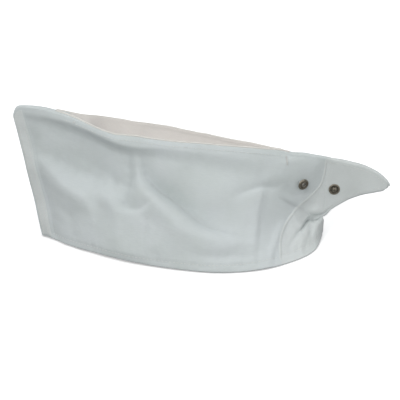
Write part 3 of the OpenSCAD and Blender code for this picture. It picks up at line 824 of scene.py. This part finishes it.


# One white cotton in three brightnesses. The rim copy (front strip, piping, tail edge) and the rear copy
# (rear panel, tail, lap) are lighter than the panel copy: painted light, standing for the brighter light on
# those parts.
COTTON = woven("panel_cotton", (0.625, 0.665, 0.672), (0.575, 0.62, 0.61), sheen=0.12)
RIM = woven("rim_cotton", (0.69, 0.72, 0.71), (0.64, 0.675, 0.665), sheen=0.12)
REAR = woven("rear_cotton_painted_lighter", (0.665, 0.70, 0.695), (0.62, 0.655, 0.64), sheen=0.12)
WELT = woven("welt_cotton", (0.88, 0.86, 0.81), (0.82, 0.80, 0.75), sheen=0.08)
# The crown is the same white cotton tinted warm: painted shade, standing for the warm, dimmer light in the
# pocket between the rims.
CROWN_WARM_SHADE = woven("crown_cotton", (0.70, 0.67, 0.635), (0.645, 0.615, 0.585), sheen=0.08)
TAPE = woven("facing_tape", (0.72, 0.73, 0.72), (0.64, 0.65, 0.64), thread=0.9, weave=0.7)
THREAD = thread_material()
GUNMETAL = metal("snap_metal", (0.20, 0.18, 0.145), (0.07, 0.065, 0.05), (0.28, 0.5))
STEEL = metal("spring_steel", (0.5, 0.49, 0.46), (0.32, 0.31, 0.29), (0.22, 0.4))


def dress(obj, mat):
    obj.data.materials.clear()
    obj.data.materials.append(mat)
    return obj


# ---- how the pieces move ------------------------------------------------------

# Half the length over which the cloth bends, and where the tail is free of the band
BEND_HALF = 4.5
TAIL_FREE_X = 98.5


def bend(obj):
    """The piece turns with the tail behind the fold line.

    Below the tail's root it stays with the cap.
    """
    a, b = FOLD_AT - BEND_HALF * FOLD_OUT, FOLD_AT + BEND_HALF * FOLD_OUT
    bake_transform(obj, "cap", "tail", start=a * MM, end=b * MM)
    data = obj.data.attributes["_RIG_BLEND"].data
    w = np.zeros(len(data), np.float32)
    data.foreach_get("value", w)
    co = np.zeros(len(data) * 3, np.float32)
    obj.data.vertices.foreach_get("co", co)
    x, z = co[0::3] / MM, co[2::3] / MM
    root = ease((z - 13) / 8)
    w *= np.where(x > TAIL_FREE_X, 1, root)
    data.foreach_set("value", w)


# ---- the cap ------------------------------------------------------------------

for side in ("left", "right"):
    mirror = side == "right"
    panel = thicken(f"{side}_side_cloth", side_sheet(side), mirror=mirror)
    dress(panel, COTTON)
    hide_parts(f"{side}_side_panel")
    bend(panel)

    rear = thicken(f"{side}_rear_cloth", rear_sheet(side), mirror=mirror)
    dress(rear, REAR)
    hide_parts(f"{side}_rear_panel", f"{side}_tail_panel")
    bend(rear)

    v = np.linspace(0.03, 0.985, 110)
    n = cloth_normal(lap_u(v), v, side)
    p = cloth(lap_u(v), v, side)
    along = unit(np.gradient(p, axis=0))
    width = mix(2.6, 2.0, ease((v - 0.4) / 0.3))
    lap = ribbon(f"{side}_lap_cloth", p, np.cross(along, n), n, width, 0.22, mirror)
    dress(lap, REAR)
    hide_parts(f"{side}_lap_seam")
    bend(lap)

    path, u = rim_path(side)
    rim = cord(f"{side}_rim_cloth", path, 0.75, mirror)
    dress(rim, WELT)
    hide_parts(f"{side}_rim_roll")
    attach(rim, "cap")

# crown: sewn over the top of each rolled rim, and sunk between them by this much
SAG = 15
u = np.linspace(3.75, 9.1, 150)
edges = []
for side in ("left", "right"):
    v = np.stack([crest_v(u) - 0.012, crest_v(u)])
    base = cloth(np.stack([u, u]), v, side)
    rows = crest_rows(base, u, 33)[18:]
    heart = base[-1] + (rows[-1] - base[-1]) * 0.5
    rows = rows + unit(rows - heart) * 0.35
    rows[..., 1] = np.minimum(rows[..., 1], -0.15)
    edges.append(rows if side == "left" else rows * np.array([1, -1, 1]))
t = np.linspace(-1, 1, 43)[1:-1, None]
left, right = edges[0][-1][None], edges[1][-1][None]
half = (right[..., 1] - left[..., 1]) / 2
trough = mix(left, right, (t[..., None] + 1) / 2)
sag = SAG * np.minimum(1, half / 16) * (1 - np.abs(t) ** 1.9) * ease((u - 3.6) / 1.6)
waves = ripple(trough[..., 0], trough[..., 1], 21, ((40, 0.6), (22, 0.5), (12, 0.25)))
sag = sag + waves * (1 - t ** 2) * ease(half / 8)
trough[..., 2] -= sag
grid = np.concatenate([edges[0], trough, edges[1][::-1]])
sheet = Sheet()
sheet.add(grid, grid_uv(grid))
crown = dress(thicken("crown_cloth", sheet, 0.5), CROWN_WARM_SHADE)
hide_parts("crown_gusset")
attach(crown, "cap")

# felled strip over the front seam, on the left
v = np.linspace(0.022, 0.975, 96)[:, None]
k = np.linspace(0, 1, 19)[None, :]
su = mix(FRONT_U, 1.8 - 0.1 * v, k)
p, n = on_cloth(su, v + 0 * k, "left")
rise = 0.7 * (1 - np.clip((k - 0.86) / 0.14, 0, 1) ** 2.2) * ease(k / 0.3 + 0.1)
rise = rise * mix(1, 0.5, ease((v - 0.78) / 0.18)) * ease((v - 0.022) / 0.01 + 0.3)
grid = p + n * rise[..., None]
sheet = Sheet()
sheet.add(grid, grid_uv(grid))
strip = dress(thicken("front_strip_cloth", sheet, 0.5), RIM)
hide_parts("front_felled_strip")
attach(strip, "cap")

# piping along the front edge and over the peak
v = np.linspace(0.02, 1, 70)
p = wall(np.zeros_like(v), v, "left")
low = np.stack([p[:, 0] + 0.6, 0 * v, p[:, 2]], -1)
u = np.linspace(0.12, 3.4, 60)
s = curve(SECTIONS, u)
high_z = s[:, 4] - smooth_table(CREST_LEFT, s[:, 2]) - 0.5
high = np.stack([s[:, 2] + 0.6 * (1 - u / 3.4), 0 * u, high_z], -1)
edge = cord("front_edge_cloth", np.concatenate([low[:-2], high]), 0.8)
dress(edge, RIM)
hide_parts("front_seam_roll")
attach(edge, "cap")

u = np.linspace(9.0, 10.95, 40)
s = curve(SECTIONS, u)
path = np.stack([s[:, 2], 0 * u, s[:, 4] - smooth_table(CREST_LEFT, s[:, 2]) - 0.5], -1)
top = dress(cord("rear_top_cloth", path, 0.75), RIM)
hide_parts("rear_top_roll")
bend(top)

v = np.linspace(0.03, 0.22, 20)
p = wall(np.full_like(v, LAST), v, "left")
path = np.stack([p[:, 0] + 0.3, 0 * v, p[:, 2]], -1)
seam = dress(cord("rear_seam_cloth", path, 0.7), RIM)
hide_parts("rear_seam_roll")
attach(seam, "cap")

# piping along the tail's free edge
s = np.linspace(0.02, 0.84, 70)
top, low = curve(TAIL_TOP, s * TAIL_SPANS), curve(TAIL_LOW, s[::-1] * TAIL_SPANS)
round_tip = curve(np.array([top[-1], [147.2, 45.0], [146.4, 42.2], low[0]]), np.linspace(0, 3, 14))
path = np.concatenate([top, round_tip[1:-1], low])
path = np.stack([path[:, 0], sway(path[:, 0], path[:, 1]), path[:, 1]], -1)
path[:, [0, 2]] -= 0.35 * unit(np.gradient(path[:, [0, 2]], axis=0))[:, ::-1] * np.array([-1, 1])
edge = dress(cord("tail_edge_cloth", path, 0.6), RIM)
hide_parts("tail_edge_roll")
bend(edge)


# bottom edge turned up inside, and the tape that faces it
def lining(name, inset, thick, top, foot, mat, cad):
    u = np.linspace(0.3, 10.93, 240)[None, :]
    k = np.linspace(0, 1, 18)[:, None]
    height = curve(SECTIONS, u)[..., 4]
    v = mix(foot, top(u), k) / height
    both = []
    for name_side in ("left", "right"):
        n = wall_normal(u + 0 * k, v, name_side)
        p = cloth(u + 0 * k, v, name_side) - n * inset
        p = p + n * (0.12 * np.sin(u * 9 + k * 4) * k)[..., None]
        p[..., 2] = np.maximum(p[..., 2], foot)
        p[..., 1] = np.minimum(p[..., 1], -0.2)
        both.append(p if name_side == "left" else p * np.array([1, -1, 1]))
    ring = np.concatenate([both[0], both[1][:, ::-1], both[0][:, :1]], 1)
    sheet = Sheet()
    sheet.add(ring, grid_uv(ring))
    obj = dress(thicken(name, sheet, thick), mat)
    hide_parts(cad)
    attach(obj, "cap")


lining("hem_cloth", 1.0, 0.7, lambda u: np.full_like(u, 8.5), 0.75,
       COTTON, "bottom_hem")
lining("facing_cloth", 1.85, 0.6, lambda u: mix(28, 12, ease((u - 8) / 1.6)), 1.0,
       TAPE, "inner_facing")

# ---- thread -------------------------------------------------------------------

# Distance from the tail's edge to its row of stitches
TAIL_ROW = 3.4
rows_hem, rows_lap, rows_front, rows_tail, rows_tack = [], [], [], [], []
for side in ("left", "right"):
    mirrored = side == "right"
    for first, last in ((1.9, 8.42), (8.6, 10.9)):
        u = np.linspace(first, last, 400)
        p, n = on_cloth(u, HEM_ROW_Z / curve(SECTIONS, u)[:, 4], side)
        rows_hem.append((p, n, mirrored, *HEM))
    u = np.linspace(3.6, 8.95, 260)
    p, n = on_cloth(u, crest_v(u) - 2.6 / curve(SECTIONS, u)[:, 4], side)
    row = dress(thread_piece(f"{side}_rim_thread", [(p, n, mirrored, *FINE)]), THREAD)
    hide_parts(f"{side}_rim_stitching")
    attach(row, "cap")
    v = np.linspace(0.05, 0.95, 200)
    n = cloth_normal(lap_u(v), v, side)
    p = cloth(lap_u(v), v, side)
    rows_lap.append((p + n * 0.3, n, mirrored, *FINE))
    s = np.linspace(0.03, 0.9, 120)
    for rows, sign in ((TAIL_TOP, -1), (TAIL_LOW, 1)):
        e = curve(rows, s * TAIL_SPANS)
        t = unit(np.gradient(e, axis=0))
        e = e + TAIL_ROW * sign * np.stack([-t[:, 1], t[:, 0]], -1)
        bent = sway(e[:, 0], e[:, 1])
        p = np.stack([e[:, 0], -TAIL_Y + (bent if side == "left" else -bent), e[:, 1]], -1)
        rows_tail.append((p, np.tile([0.0, -1.0, 0.0], (len(p), 1)), mirrored, *FINE))
    for u0, low_v in ((3.9, 0.965), (8.96, 0.85)):
        for k in range(3):
            v = np.linspace(low_v, 0.985, 30)
            p, n = on_cloth(np.full(30, u0 + 0.016 * k), v, side)
            whole = lengths(p)[-1]
            rows_tack.append((p + n * 0.12, n, mirrored, whole * 0.95, whole * 0.85))
for u0 in (0.62, 1.5):
    v = np.linspace(0.04, 0.86, 200)
    p, n = on_cloth(u0 - 0.1 * v * (u0 > 1), v, "left")
    lift = 0.62 * mix(1, 0.55, ease((v - 0.78) / 0.18))
    rows_front.append((p + n * lift[:, None], n, False, *FINE))

for name, rows, cad, bends in (
        ("hem_thread", rows_hem, "hem_stitching", False),
        ("lap_thread", rows_lap, "lap_stitching", True),
        ("front_thread", rows_front, "front_stitching", False),
        ("tail_thread", rows_tail, "tail_stitching", True),
        ("tack_thread", rows_tack, "gusset_bar_tacks", False)):
    obj = dress(thread_piece(name, rows), THREAD)
    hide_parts(cad)
    if bends:
        bend(obj)
    else:
        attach(obj, "cap")

# ---- press stud ---------------------------------------------------------------

for name, mat in (("snap_socket", GUNMETAL), ("snap_stud", GUNMETAL), ("snap_socket_spring", STEEL),
                  ("snap_socket_rivet", STEEL), ("snap_stud_rivet", STEEL)):
    obj = frame["nodes"][name]
    obj.data.materials.clear()
    obj.data.materials.append(mat)

# ---- studio -------------------------------------------------------------------

bpy.ops.mesh.primitive_plane_add(size=6, location=(0, 0, -0.0006))
floor = bpy.context.object
floor.name = "floor"
m, nodes, links = material("floor_paper")
out = node(nodes, "ShaderNodeOutputMaterial")
paper = node(nodes, "ShaderNodeBsdfPrincipled", Roughness=0.9)
links.new(paper.outputs[0], out.inputs[0])
# white to the camera, as paper lit from below, and a grey to the light that falls back up
rays = node(nodes, "ShaderNodeLightPath")
tint = node(nodes, "ShaderNodeMix", data_type="RGBA")
tint.inputs[6].default_value = (0.38, 0.38, 0.38, 1)
tint.inputs[7].default_value = (0.95, 0.95, 0.95, 1)
links.new(rays.outputs["Is Camera Ray"], tint.inputs[0])
links.new(tint.outputs[2], paper.inputs["Base Color"])
paper.inputs["Emission Color"].default_value = (1, 1, 1, 1)
glow = node(nodes, "ShaderNodeMath", operation="MULTIPLY")
glow.inputs[1].default_value = 0.3
links.new(rays.outputs["Is Camera Ray"], glow.inputs[0])
links.new(glow.outputs[0], paper.inputs["Emission Strength"])
floor.data.materials.append(m)

world = bpy.data.worlds.new("studio")
world.use_nodes = True
world.node_tree.nodes["Background"].inputs[0].default_value = (0.97, 0.985, 1.0, 1)
world.node_tree.nodes["Background"].inputs[1].default_value = 0.46
bpy.context.scene.world = world

# the camera sees plain white paper behind the floor
nodes, links = world.node_tree.nodes, world.node_tree.links
paper_sky = node(nodes, "ShaderNodeBackground", Color=(1, 1, 1, 1), Strength=1.0)
rays = node(nodes, "ShaderNodeLightPath")
pick = node(nodes, "ShaderNodeMixShader")
links.new(rays.outputs["Is Camera Ray"], pick.inputs[0])
links.new(nodes["Background"].outputs[0], pick.inputs[1])
links.new(paper_sky.outputs[0], pick.inputs[2])
links.new(pick.outputs[0], nodes["World Output"].inputs[0])


def lamp(name, towards, power, spread, colour=(1, 1, 1)):
    data = bpy.data.lights.new(name, "SUN")
    data.energy, data.angle, data.color = power, math.radians(spread), colour
    obj = bpy.data.objects.new(name, data)
    bpy.context.scene.collection.objects.link(obj)
    obj.rotation_euler = (-Vector(towards)).to_track_quat("-Z", "Y").to_euler()


lamp("key", (-0.45, -0.65, 0.55), 1.03, 26, (1, 0.995, 0.98))
lamp("fill", (0.6, -0.6, 0.35), 0.52, 40)
lamp("above", (-0.05, 0.05, 1), 0.82, 50)

scene = bpy.context.scene
scene.view_settings.view_transform = "Standard"
camera = bpy.data.objects.new("camera", bpy.data.cameras.new("camera"))
scene.collection.objects.link(camera)
TARGET, AZIMUTH, ELEVATION, DISTANCE = Vector((-0.0036, 0, 0.0307)), 0.5, 22, 0.7
a, e = math.radians(AZIMUTH), math.radians(ELEVATION)
back = Vector((math.sin(a) * math.cos(e), -math.cos(a) * math.cos(e), math.sin(e)))
camera.location = TARGET + back * DISTANCE
camera.rotation_euler = (-back).to_track_quat("-Z", "Y").to_euler()
camera.data.lens, camera.data.sensor_width = 78.2, 36
scene.camera = camera
